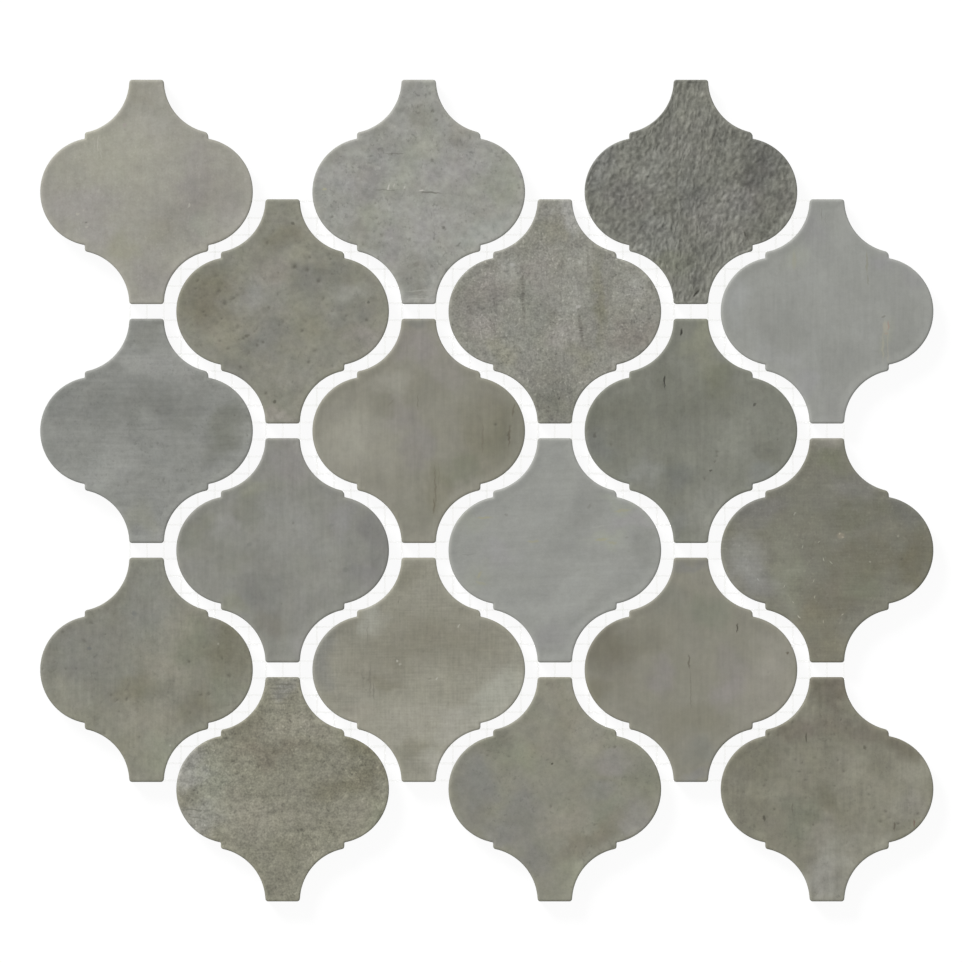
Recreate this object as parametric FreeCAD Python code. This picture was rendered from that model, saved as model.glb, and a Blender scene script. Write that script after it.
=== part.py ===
import FreeCAD, Part

import math
import os

# One mosaic sheet of lantern chips, lying face up.
# The origin is the middle of the sheet, on the underside of its backing net.
# +X runs across the columns of chips, +Y along them, and all sizes are in millimetres.

# The lantern chip, seen from above, and its thickness.
CHIP_WIDTH = 62.0
CHIP_HEIGHT = 65.4
CHIP_THICKNESS = 6.5
LOBE_RADIUS = 15.75
NECK_WIDTH = 10.05
FLANK_RADIUS = 15.6
SHOULDER_WIDTH = 36.0

# How the chips are set on the sheet.
COLUMN_NAMES = "abcdef"
CHIPS_IN_COLUMN = 3
NECK_JOINT = 4.25
SIDE_JOINT = 3.65

# The woven glass backing net: a flat tape at every few threads.
TAPE_WIDTH = 1.2
TAPE_THICKNESS = 0.4
TAPE_SETBACK = 2.0
TAPES_PER_COLUMN = 2
TAPES_PER_ROW = 3

# Pitches of the staggered pattern.
COLUMN_PITCH = CHIP_WIDTH / 2 + SIDE_JOINT + NECK_WIDTH / 2
ROW_PITCH = CHIP_HEIGHT + NECK_JOINT
STAGGER = ROW_PITCH / 2
WIDEST_JOINT = 2 * NECK_JOINT

# Centres of the arcs in the chip's first quarter.
LOBE_X = CHIP_WIDTH / 2 - LOBE_RADIUS
FLANK_X = NECK_WIDTH / 2 + FLANK_RADIUS
FLANK_Y = CHIP_HEIGHT / 2


def circle_height(radius, across):
    """How high a circle stands over its centre line, at a distance across from its centre."""
    return math.sqrt(max(radius * radius - across * across, 0.0))


# The shoulder is a small upright step between the flank and the lobe.
SHOULDER_X = SHOULDER_WIDTH / 2
SHOULDER_TOP = FLANK_Y - circle_height(FLANK_RADIUS, FLANK_X - SHOULDER_X)
SHOULDER_FOOT = circle_height(LOBE_RADIUS, SHOULDER_X - LOBE_X)


def half_height(across):
    """Half the chip's height at a distance across from its upright centre line."""
    if across <= NECK_WIDTH / 2:
        return CHIP_HEIGHT / 2
    if across <= SHOULDER_X:
        return FLANK_Y - circle_height(FLANK_RADIUS, FLANK_X - across)
    if across < CHIP_WIDTH / 2:
        return circle_height(LOBE_RADIUS, across - LOBE_X)
    return 0.0


def half_width(along):
    """Half the chip's width at a distance along from its level centre line."""
    if along <= SHOULDER_FOOT:
        return LOBE_X + circle_height(LOBE_RADIUS, along)
    if along <= SHOULDER_TOP:
        return SHOULDER_X
    if along < CHIP_HEIGHT / 2:
        return FLANK_X - circle_height(FLANK_RADIUS, FLANK_Y - along)
    return 0.0


def flank_middle():
    """The point half way along the flank's arc, from the neck to the shoulder."""
    neck_angle = math.pi
    shoulder_angle = math.atan2(SHOULDER_TOP - FLANK_Y, SHOULDER_X - FLANK_X) % (2 * math.pi)
    middle = (neck_angle + shoulder_angle) / 2
    return (FLANK_X + FLANK_RADIUS * math.cos(middle), FLANK_Y + FLANK_RADIUS * math.sin(middle))


def chip_outline():
    """The lantern's closed outline about its own centre, clockwise from the top of the right flank."""
    neck_corner = (NECK_WIDTH / 2, CHIP_HEIGHT / 2)
    shoulder_top = (SHOULDER_X, SHOULDER_TOP)
    shoulder_foot = (SHOULDER_X, SHOULDER_FOOT)
    edges = []

    def point(place, right, up):
        return FreeCAD.Vector(right * place[0], up * place[1], 0)

    def line(start, end):
        edges.append(Part.LineSegment(start, end).toShape())

    def arc(start, middle, end):
        edges.append(Part.Arc(start, middle, end).toShape())

    for right in (1, -1):
        upper, lower = right, -right
        arc(point(neck_corner, right, upper), point(flank_middle(), right, upper),
            point(shoulder_top, right, upper))
        line(point(shoulder_top, right, upper), point(shoulder_foot, right, upper))
        arc(point(shoulder_foot, right, upper), point((CHIP_WIDTH / 2, 0), right, upper),
            point(shoulder_foot, right, lower))
        line(point(shoulder_foot, right, lower), point(shoulder_top, right, lower))
        arc(point(shoulder_top, right, lower), point(flank_middle(), right, lower),
            point(neck_corner, right, lower))
        line(point(neck_corner, right, lower), point(neck_corner, -right, lower))
    return Part.Wire(edges)


def chip_centres():
    """Each chip's name and centre: columns from the left, chips from the top, every other column lower."""
    centres = {}
    for column, letter in enumerate(COLUMN_NAMES):
        x = (column - (len(COLUMN_NAMES) - 1) / 2) * COLUMN_PITCH
        shift = STAGGER / 2 if column % 2 == 0 else -STAGGER / 2
        for place in range(CHIPS_IN_COLUMN):
            y = shift + ((CHIPS_IN_COLUMN - 1) / 2 - place) * ROW_PITCH
            centres[letter + str(place + 1)] = (x, y)
    return centres


def joined_spans(spans):
    """Spans along a tape, run together where only a joint parts them and set back at both ends."""
    runs = []
    for low, high in sorted(spans):
        if runs and low - runs[-1][1] <= WIDEST_JOINT:
            runs[-1][1] = max(runs[-1][1], high)
        else:
            runs.append([low, high])
    return [(low + TAPE_SETBACK, high - TAPE_SETBACK) for low, high in runs
            if high - low > 2 * TAPE_SETBACK + TAPE_WIDTH]


def tape_places(length, spacing):
    """Places of the tapes over a length, spaced evenly about its middle."""
    each_side = math.floor(length / 2 / spacing)
    return [number * spacing for number in range(-each_side, each_side + 1)]


def backing_net():
    """The net as one solid: flat tapes both ways, cut back inside the chips at the sheet's edge."""
    centres = chip_centres().values()
    sheet_width = 2 * max(x for x, y in centres) + CHIP_WIDTH
    sheet_height = 2 * max(y for x, y in centres) + CHIP_HEIGHT
    tapes = []
    for x in tape_places(sheet_width, COLUMN_PITCH / TAPES_PER_COLUMN):
        reaches = [(y, half_height(abs(x - cx) + TAPE_WIDTH / 2)) for cx, y in centres]
        for low, high in joined_spans([(y - reach, y + reach) for y, reach in reaches if reach > 0]):
            corner = FreeCAD.Vector(x - TAPE_WIDTH / 2, low, 0)
            tapes.append(Part.makeBox(TAPE_WIDTH, high - low, TAPE_THICKNESS, corner))
    for y in tape_places(sheet_height, ROW_PITCH / TAPES_PER_ROW):
        reaches = [(x, half_width(abs(y - cy) + TAPE_WIDTH / 2)) for x, cy in centres]
        for low, high in joined_spans([(x - reach, x + reach) for x, reach in reaches if reach > 0]):
            corner = FreeCAD.Vector(low, y - TAPE_WIDTH / 2, 0)
            tapes.append(Part.makeBox(high - low, TAPE_WIDTH, TAPE_THICKNESS, corner))
    return tapes[0].multiFuse(tapes[1:]).removeSplitter()


def lantern_chip(centre):
    """One fired chip: its outline raised to its thickness, seated on the net."""
    blank = Part.Face(chip_outline()).extrude(FreeCAD.Vector(0, 0, CHIP_THICKNESS))
    blank.translate(FreeCAD.Vector(centre[0], centre[1], TAPE_THICKNESS))
    return blank


os.makedirs("parts", exist_ok=True)
for name, centre in chip_centres().items():
    lantern_chip(centre).exportStep("parts/lantern_chip_" + name + ".step")
backing_net().exportStep("parts/backing_net.step")
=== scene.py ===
import math

import bpy
import numpy as np
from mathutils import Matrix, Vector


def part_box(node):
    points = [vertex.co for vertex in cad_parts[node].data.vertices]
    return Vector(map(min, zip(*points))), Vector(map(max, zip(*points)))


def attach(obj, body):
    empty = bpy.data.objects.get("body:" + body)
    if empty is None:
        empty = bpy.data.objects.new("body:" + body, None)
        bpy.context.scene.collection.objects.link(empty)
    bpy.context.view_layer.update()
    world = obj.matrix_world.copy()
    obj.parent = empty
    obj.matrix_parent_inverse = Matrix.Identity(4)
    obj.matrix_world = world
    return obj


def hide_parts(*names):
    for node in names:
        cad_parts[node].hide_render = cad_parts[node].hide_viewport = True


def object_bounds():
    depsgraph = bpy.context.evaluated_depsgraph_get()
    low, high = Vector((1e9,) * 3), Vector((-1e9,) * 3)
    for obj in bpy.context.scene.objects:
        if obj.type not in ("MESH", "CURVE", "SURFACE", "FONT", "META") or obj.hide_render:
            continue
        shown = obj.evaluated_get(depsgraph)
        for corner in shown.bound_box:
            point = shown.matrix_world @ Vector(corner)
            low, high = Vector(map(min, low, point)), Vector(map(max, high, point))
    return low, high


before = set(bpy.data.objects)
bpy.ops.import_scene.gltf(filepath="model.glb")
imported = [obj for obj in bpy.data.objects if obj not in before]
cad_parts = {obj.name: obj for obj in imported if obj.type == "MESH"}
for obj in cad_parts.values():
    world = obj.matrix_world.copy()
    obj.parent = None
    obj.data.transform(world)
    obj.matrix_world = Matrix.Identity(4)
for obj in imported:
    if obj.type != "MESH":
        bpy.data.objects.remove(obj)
cad_low, cad_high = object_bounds()
mm = 0.001

# Camera. The sheet is seen from straight above, its middle a little right of and below the picture's.
# The lens is very long, so that the chips' upright walls stay hidden as they do on a flat scan.
picture_width = 280.7 * mm
view_centre = (-1.54 * mm, 2.65 * mm)
camera_data = bpy.data.cameras.new("overhead_camera")
camera_data.sensor_width = 36.0
camera_data.lens = 800.0
camera_distance = picture_width * camera_data.lens / camera_data.sensor_width
camera_data.clip_end = 3 * camera_distance
camera = bpy.data.objects.new("overhead_camera", camera_data)
camera.location = (view_centre[0], view_centre[1], cad_high.z + camera_distance)
bpy.context.scene.collection.objects.link(camera)
bpy.context.scene.camera = camera
bpy.context.scene.view_settings.view_transform = "Standard"

# Lantern chips. Each is porcelain pressed to one outline: two round lobes, hollow flanks up to a narrow
# neck at both ends, and a small upright shoulder where flank and lobe meet. The edge of the face is
# rounded in the die, with a low lip inside it, and the wall below has a little draft.
LOBE_RADIUS = 15.75 * mm
NECK_WIDTH = 10.05 * mm
FLANK_RADIUS = 15.6 * mm
SHOULDER_WIDTH = 36.0 * mm
CORNER_ROUND = 0.85 * mm
SOFT_SHOULDER_ROUND = 1.5 * mm
RIM_WIDTH = 0.72 * mm
RIM_DROP = 0.43 * mm
LIP_START = 0.8 * RIM_WIDTH
LIP_WIDTH = 2.3 * mm
LIP_HEIGHT = 0.15 * mm
FACE_STEPS = 140
CARVED_STEPS = 240
RIM_CROWDING = 0.75
ARC_POINTS = 160
DISTANCE_POINTS = 1600
DISTANCE_BLOCKS = 24
# Rows of points down the wall: height over the chip's back, and how far inside the outline.
WALL_ROWS = [(3.4 * mm, 0.03 * mm), (0.5 * mm, 0.08 * mm), (0.15 * mm, 0.16 * mm), (0.0, 0.38 * mm)]


def arc(centre, radius, start, end):
    """Points on a circle between two angles in radians."""
    angles = np.linspace(start, end, ARC_POINTS)
    return np.column_stack((centre[0] + radius * np.cos(angles), centre[1] + radius * np.sin(angles)))


def quarter_outline(half_width, half_height, shoulder_round):
    """The outline from a lobe's tip up to the middle of the neck's end: the lobe's arc, the shoulder's
    upright step and round, the flank's arc about a centre outside the chip, the neck's round and its end.
    A round touches its neighbours, so its centre lies one radius inside the straight edge and one radius
    further from the flank's centre than the flank is."""
    lobe_x = half_width - LOBE_RADIUS
    flank_x = NECK_WIDTH / 2 + FLANK_RADIUS
    foot_angle = math.acos((SHOULDER_WIDTH / 2 - lobe_x) / LOBE_RADIUS)
    shoulder_x = SHOULDER_WIDTH / 2 - shoulder_round
    shoulder_drop = math.sqrt((FLANK_RADIUS + shoulder_round) ** 2 - (flank_x - shoulder_x) ** 2)
    neck_run = math.sqrt((FLANK_RADIUS + CORNER_ROUND) ** 2 - CORNER_ROUND ** 2)
    flank_low = math.atan2(-shoulder_drop, shoulder_x - flank_x)
    flank_top = math.atan2(-CORNER_ROUND, -neck_run)
    return np.vstack((
        arc((lobe_x, 0.0), LOBE_RADIUS, 0.0, foot_angle),
        arc((shoulder_x, half_height - shoulder_drop), shoulder_round, 0.0, flank_low + math.pi),
        arc((flank_x, half_height), FLANK_RADIUS, flank_low, flank_top),
        arc((flank_x - neck_run, half_height - CORNER_ROUND), CORNER_ROUND, flank_top + math.pi, math.pi / 2),
        [(0.0, half_height)]))


def chip_outline(half_width, half_height):
    """The whole outline as x and y against a turn from 0 to 8, two for each quarter, starting at the right
    lobe's tip. Half of each quarter's turn is shared out by length and half by the area swept about the
    middle, so that neither the flanks nor the lobes are left coarse."""
    turns, places = [], []
    quarters = ((1, 1, SOFT_SHOULDER_ROUND), (-1, 1, CORNER_ROUND),
                (-1, -1, CORNER_ROUND), (1, -1, CORNER_ROUND))
    for number, (right, up, shoulder_round) in enumerate(quarters):
        quarter = quarter_outline(half_width, half_height, shoulder_round)
        step = np.diff(quarter, axis=0)
        swept = np.abs(quarter[:-1, 0] * step[:, 1] - quarter[:-1, 1] * step[:, 0])
        length = np.hypot(step[:, 0], step[:, 1])
        share = np.concatenate(([0.0], np.cumsum(length / length.sum() + swept / swept.sum())))
        quarter = quarter * (right, up)
        if number % 2:
            share, quarter = 2.0 - share[::-1], quarter[::-1]
        turns.append(2 * number + share)
        places.append(quarter)
    turns, places = np.concatenate(turns), np.vstack(places)
    return lambda turn: np.column_stack((np.interp(turn % 8, turns, places[:, 0]),
                                         np.interp(turn % 8, turns, places[:, 1])))


def outline_distance(points, outline):
    """How far each point lies inside the outline: the least distance to any of its short straight pieces,
    taken at the foot of the perpendicular or at the piece's nearer end. The points are taken in blocks,
    to save memory."""
    starts = outline(np.linspace(0, 8, DISTANCE_POINTS, endpoint=False))
    runs = np.roll(starts, -1, axis=0) - starts
    squares = (runs ** 2).sum(axis=1)
    nearest = []
    for block in np.array_split(points, DISTANCE_BLOCKS):
        offset = block[:, None, :] - starts[None]
        along = np.clip((offset * runs).sum(axis=2) / squares, 0, 1)
        nearest.append(np.sqrt(((offset - along[..., None] * runs) ** 2).sum(axis=2).min(axis=1)))
    return np.concatenate(nearest)


def grid_quads(rows, columns):
    """Four corners of every cell in a grid of rows by columns of points, anticlockwise from above."""
    corner = (np.arange(rows - 1)[:, None] * columns + np.arange(columns - 1)).ravel()
    return np.column_stack((corner, corner + 1, corner + columns + 1, corner + columns))


def face_grid(outline, steps):
    """A square grid drawn over the chip's face. A point's ring is its larger coordinate and its turn is its
    place round the ring; it goes to the outline's point at that turn, shrunk about the middle by its ring.
    Rings are crowded towards the rim, by ring + crowding * ring^6 * (1 - ring). Gives the points, how far
    each lies inside the outline, the grid's cells and the loop of points along the rim."""
    across, up = np.meshgrid(np.linspace(-1, 1, steps + 1), np.linspace(-1, 1, steps + 1))
    across, up = across.ravel(), up.ravel()
    ring = np.maximum(np.abs(across), np.abs(up))
    safe = np.maximum(ring, 1e-9)
    turn = np.where(np.abs(across) >= np.abs(up),
                    np.where(across >= 0, up / safe, 4 - up / safe),
                    np.where(up >= 0, 2 - across / safe, 6 + across / safe))
    shrink = ring + RIM_CROWDING * ring ** 6 * (1 - ring)
    points = outline(turn) * shrink[:, None]
    side, row = np.arange(steps), steps + 1
    rim_loop = np.concatenate((side, side * row + steps, steps * row + steps - side, (steps - side) * row))
    return points, outline_distance(points, outline), grid_quads(row, row), rim_loop


def mesh_object(name, points, quads, triangles=None):
    """A smooth-shaded mesh from arrays of points, quads and triangles."""
    faces = [quads] if triangles is None else [quads, triangles]
    sizes = np.concatenate([np.full(len(part), part.shape[1]) for part in faces])
    corners = np.concatenate([part.ravel() for part in faces])
    mesh = bpy.data.meshes.new(name)
    mesh.vertices.add(len(points))
    mesh.vertices.foreach_set("co", np.asarray(points, np.float32).ravel())
    mesh.loops.add(len(corners))
    mesh.loops.foreach_set("vertex_index", corners.astype(np.int32))
    mesh.polygons.add(len(sizes))
    mesh.polygons.foreach_set("loop_start", (np.cumsum(sizes) - sizes).astype(np.int32))
    mesh.polygons.foreach_set("use_smooth", np.ones(len(sizes), bool))
    mesh.update(calc_edges=True)
    mesh.validate()
    piece = bpy.data.objects.new(name, mesh)
    bpy.context.scene.collection.objects.link(piece)
    return piece


# The face's relief: a slow swell, a grain of four layers (share, size, turn) whose place wavers a little
# in x and in y (size, turn), and hollows. Hollows stay clear of the rim, and a painted highlight lies along
# it.
# Pits vary in radius and in depth by the shares given, and fall off by a power of distance over radius.
NOISE_CELLS = 512
SWELL_SIZE = 14.0 * mm
SWELL_DEPTH = 0.03 * mm
WAVER = 0.3 * mm
WAVER_LAYERS = ((1.7 * mm, 0.2), (1.5 * mm, 1.1))
GRAIN_LAYERS = ((0.15, 2.2, -0.2), (0.5, 1.0, 0.12), (0.6, 0.7, -0.1), (0.5, 0.45, 0.05))
GRAIN_BORDER = 0.9 * mm
RIM_GRAIN = 0.2
HOLLOW_DEPTH = 0.18 * mm
HOLLOW_BORDER = 0.6 * mm
PIT_REACH = (29 * mm, 30 * mm)
PIT_RADII = (0.5, 1.5)
PIT_DEPTHS = (0.25, 1.0)
PIT_POWER = 1.7
# Width of the painted highlight along the rim.
RIM_HIGHLIGHT_WIDTH = 0.55 * mm
first_low, first_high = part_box("lantern_chip_a1")
chip_half = ((first_high.x - first_low.x) / 2, (first_high.y - first_low.y) / 2)
lantern = chip_outline(*chip_half)
pressed_face = face_grid(lantern, FACE_STEPS)
carved_face = face_grid(lantern, CARVED_STEPS)


def rim_profile(depth):
    """Drop below the lip's crest: a quarter ellipse down to the wall, and a smooth fall inside the lip."""
    inward = np.clip(depth / RIM_WIDTH, 0, 1)
    round_drop = RIM_DROP * (1 - np.sqrt(1 - (1 - inward) ** 2))
    fall = np.clip((depth - LIP_START) / LIP_WIDTH, 0, 1)
    return round_drop + LIP_HEIGHT * fall ** 2 * (3 - 2 * fall)


def cell_noise(points, cell, random, turn=0.5, stretch=1.0):
    """Random heights from -1 to 1 at the corners of cells, blended inside each cell by 3t^2 - 2t^3.
    The cells are turned by an angle so that layers don't line up, and may be longer one way."""
    across = (points[:, 0] * math.cos(turn) - points[:, 1] * math.sin(turn)) / cell + NOISE_CELLS / 2
    up = points[:, 0] * math.sin(turn) + points[:, 1] * math.cos(turn)
    up = up / (cell * stretch) + NOISE_CELLS / 2
    heights = random.uniform(-1, 1, (NOISE_CELLS, NOISE_CELLS))
    column, row = across.astype(int) % (NOISE_CELLS - 1), up.astype(int) % (NOISE_CELLS - 1)
    right, above = across % 1, up % 1
    right, above = right ** 2 * (3 - 2 * right), above ** 2 * (3 - 2 * above)
    low = heights[row, column] * (1 - right) + heights[row, column + 1] * right
    high = heights[row + 1, column] * (1 - right) + heights[row + 1, column + 1] * right
    return low * (1 - above) + high * above


def pit_field(points, random, count, size, patches):
    """How deep each point lies in a pit, from 0 to 1: hollows of mixed size and depth, strewn over the face
    or gathered round the given patches (x, y, spread). Each is exp(-(distance / radius)^power)."""
    if count == 0:
        return np.zeros(len(points))
    places = random.uniform(-np.array(PIT_REACH), PIT_REACH, (count, 2))
    if patches:
        chosen = np.array(patches)[random.integers(0, len(patches), count)] * mm
        places = chosen[:, :2] + random.normal(0, 1, (count, 2)) * chosen[:, 2:3]
    radii = size * mm * random.uniform(*PIT_RADII, count)
    depths = random.uniform(*PIT_DEPTHS, count)
    distance = np.hypot(points[:, None, 0] - places[:, 0], points[:, None, 1] - places[:, 1])
    return (depths * np.exp(-(distance / radii) ** PIT_POWER)).max(axis=1)


def crack_field(points, cracks):
    """How deep each point lies in a crack, from 0 to 1: long lens shapes (x, y, half length, half width,
    turn in degrees)."""
    field = np.zeros(len(points))
    for x, y, half_length, half_width, turn in cracks:
        angle = math.radians(turn)
        offset = points - np.array((x, y)) * mm
        along = (offset[:, 0] * math.cos(angle) + offset[:, 1] * math.sin(angle)) / (half_length * mm)
        aside = (offset[:, 1] * math.cos(angle) - offset[:, 0] * math.sin(angle)) / (half_width * mm)
        field = np.maximum(field, np.clip(1 - along ** 2 - aside ** 2, 0, 1))
    return field


def chip_mesh(key, grid, seed, roughness, rough_cell, stretch, pits, cracks):
    """One chip: the face's grid with its relief, rows of points down the wall and a flat back closed
    with a fan. The relief is only ever cut down from the lip's crest. Its grain adds up four layers of
    noise, each finer than the last, in places pushed a little sideways."""
    points, depth, face_quads, rim_loop = grid
    low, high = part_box("lantern_chip_" + key)
    middle = ((low.x + high.x) / 2, (low.y + high.y) / 2)
    random = np.random.default_rng(seed)
    swell = cell_noise(points, SWELL_SIZE, random, 0.3)
    sideways = np.column_stack([cell_noise(points, size, random, turn) for size, turn in WAVER_LAYERS])
    unsteady = points + WAVER * sideways
    grain = sum(share * cell_noise(unsteady, size * rough_cell * mm, random, turn, stretch)
                for share, size, turn in GRAIN_LAYERS)
    hollow = np.maximum(pit_field(unsteady, random, *pits), crack_field(unsteady, cracks))
    hollow *= np.clip(depth / HOLLOW_BORDER, 0, 1)
    inside = np.clip(depth / GRAIN_BORDER, RIM_GRAIN, 1)
    drop = (rim_profile(depth) + SWELL_DEPTH * (1 - swell)
            + inside * roughness * mm * (1 - np.clip(grain, -1, 1)) + HOLLOW_DEPTH * hollow)
    rows = [np.column_stack((points + middle, high.z - drop))]
    for height, inset in WALL_ROWS:
        row = points[rim_loop] * (1 - inset / chip_half[0]) + middle
        rows.append(np.column_stack((row, np.full(len(row), low.z + height))))
    rows.append([(middle[0], middle[1], low.z)])
    loops = [rim_loop] + [len(points) + number * len(rim_loop) + np.arange(len(rim_loop))
                          for number in range(len(WALL_ROWS))]
    quads = [face_quads]
    for upper, lower in zip(loops, loops[1:]):
        quads.append(np.column_stack((upper, lower, np.roll(lower, -1), np.roll(upper, -1))))
    last = loops[-1]
    hub = len(points) + len(WALL_ROWS) * len(rim_loop)
    fan = np.column_stack((np.full(len(last), hub), np.roll(last, -1), last))
    piece = mesh_object("cement_chip_" + key, np.vstack(rows), np.vstack(quads), fan)
    # The edge attribute says how near the rim a point lies, for the painted highlight along the rim.
    for name, values in (("hollow", hollow), ("relief", grain), ("edge", np.exp(-depth / RIM_HIGHLIGHT_WIDTH))):
        stored = np.zeros(len(piece.data.vertices), np.float32)
        stored[:len(points)] = values
        piece.data.attributes.new(name, "FLOAT", "POINT").data.foreach_set("value", stored)
    return piece, middle


# The print on the chips. A cement look is jetted on the pressed face and fired: a ground colour with
# soft clouds, brushed streaks, grain, pinholes and a few scratches, different on every chip. It wraps
# over the rim, where a painted highlight makes it a little paler, and stops a little way down the wall on
# bare porcelain.
BODY_COLOUR = (163, 157, 145)
BACK_COLOUR = (186, 182, 172)
PIT_COLOUR = (80, 78, 68)
# How one level of warmth or pinkness changes red, green and blue, and what a level is in linear light.
WARMTH = (0.18, 0.11, -0.3)
PINKNESS = (0.17, -0.26, 0.13)
LEVEL = 0.0048
# How far noise pushes the edges of clouds and of flecks (its size and reach in millimetres), and how strong
# a cloud's or fleck's spot is where its full strength begins.
CLOUD_WANDER = (9.0, 14.0)
FLECK_WANDER = (1.6, 1.3)
CLOUD_CORE = 0.8
FLECK_CORE = 0.6
# Patches of drifting warmth and, less strongly, of drifting pinkness: their sizes in millimetres.
WARM_PATCH = 7.0
PINK_PATCH = 4.0
PINK_SHARE = 0.6
# Sizes in millimetres of the print's grain, of its streaks and their stretch, and of its weave. The range
# in which noise mostly lies, and how strongly noise of one level changes the light.
GRAIN_SIZES = (12.0, 5.0, 1.8, 0.6)
STREAK_LAYERS = ((0.8, (10.0, 1.0)), (3.0, (7.0, 1.0)))
WEAVE_SIZE = 0.55
WEAVE_STRETCH = 14.0
NOISE_SPAN = (0.3, 0.7)
NOISE_GAIN = 0.28
# Specks: the noise that makes them (stretch, turn, detail), between which levels of it they begin and are
# whole, the same for their patches with their least and greatest strength, and what one level changes.
SPECK_NOISE = ((1.0, 1.25), 8.0, 3.5)
SPECK_CUT = (0.55, 0.72)
SPECK_PATCHES = (0.4, 0.6, 0.1, 1.1)
SPECK_GAIN = 0.02
# How much paler the rim is painted, as a painted highlight, and how much of a pit takes its own colour.
RIM_HIGHLIGHT_GAIN = 0.26
PIT_COVER = 0.6
# How far below the face the print has ended and is still whole, and how ragged its end is. How high over
# the table the back's pale colour is still whole and has ended.
PRINT_END = (1.5 * mm, 1.1 * mm)
PRINT_RAGGED = 1.2 * mm
RAGGED_SIZE = 2.5
BACK_END = (0.42 * mm, 0.6 * mm)
BODY_SHADES = (0.9, 1.08)
ROUGHNESS = (0.54, 0.57)
PIT_ROUGHNESS = 0.25
SPECULAR = 0.25
# The fired print's fine tooth: its size in millimetres and its height.
TOOTH_SIZE = 0.35
TOOTH_HEIGHT = 0.03 * mm
BUMP_STRENGTH = 0.2


def linear(colour):
    """A colour written as 0 to 255 screen values, as the linear light that a shader takes."""
    parts = [value / 255 for value in colour]
    return tuple(p / 12.92 if p <= 0.04045 else ((p + 0.055) / 1.055) ** 2.4 for p in parts) + (1.0,)


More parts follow.
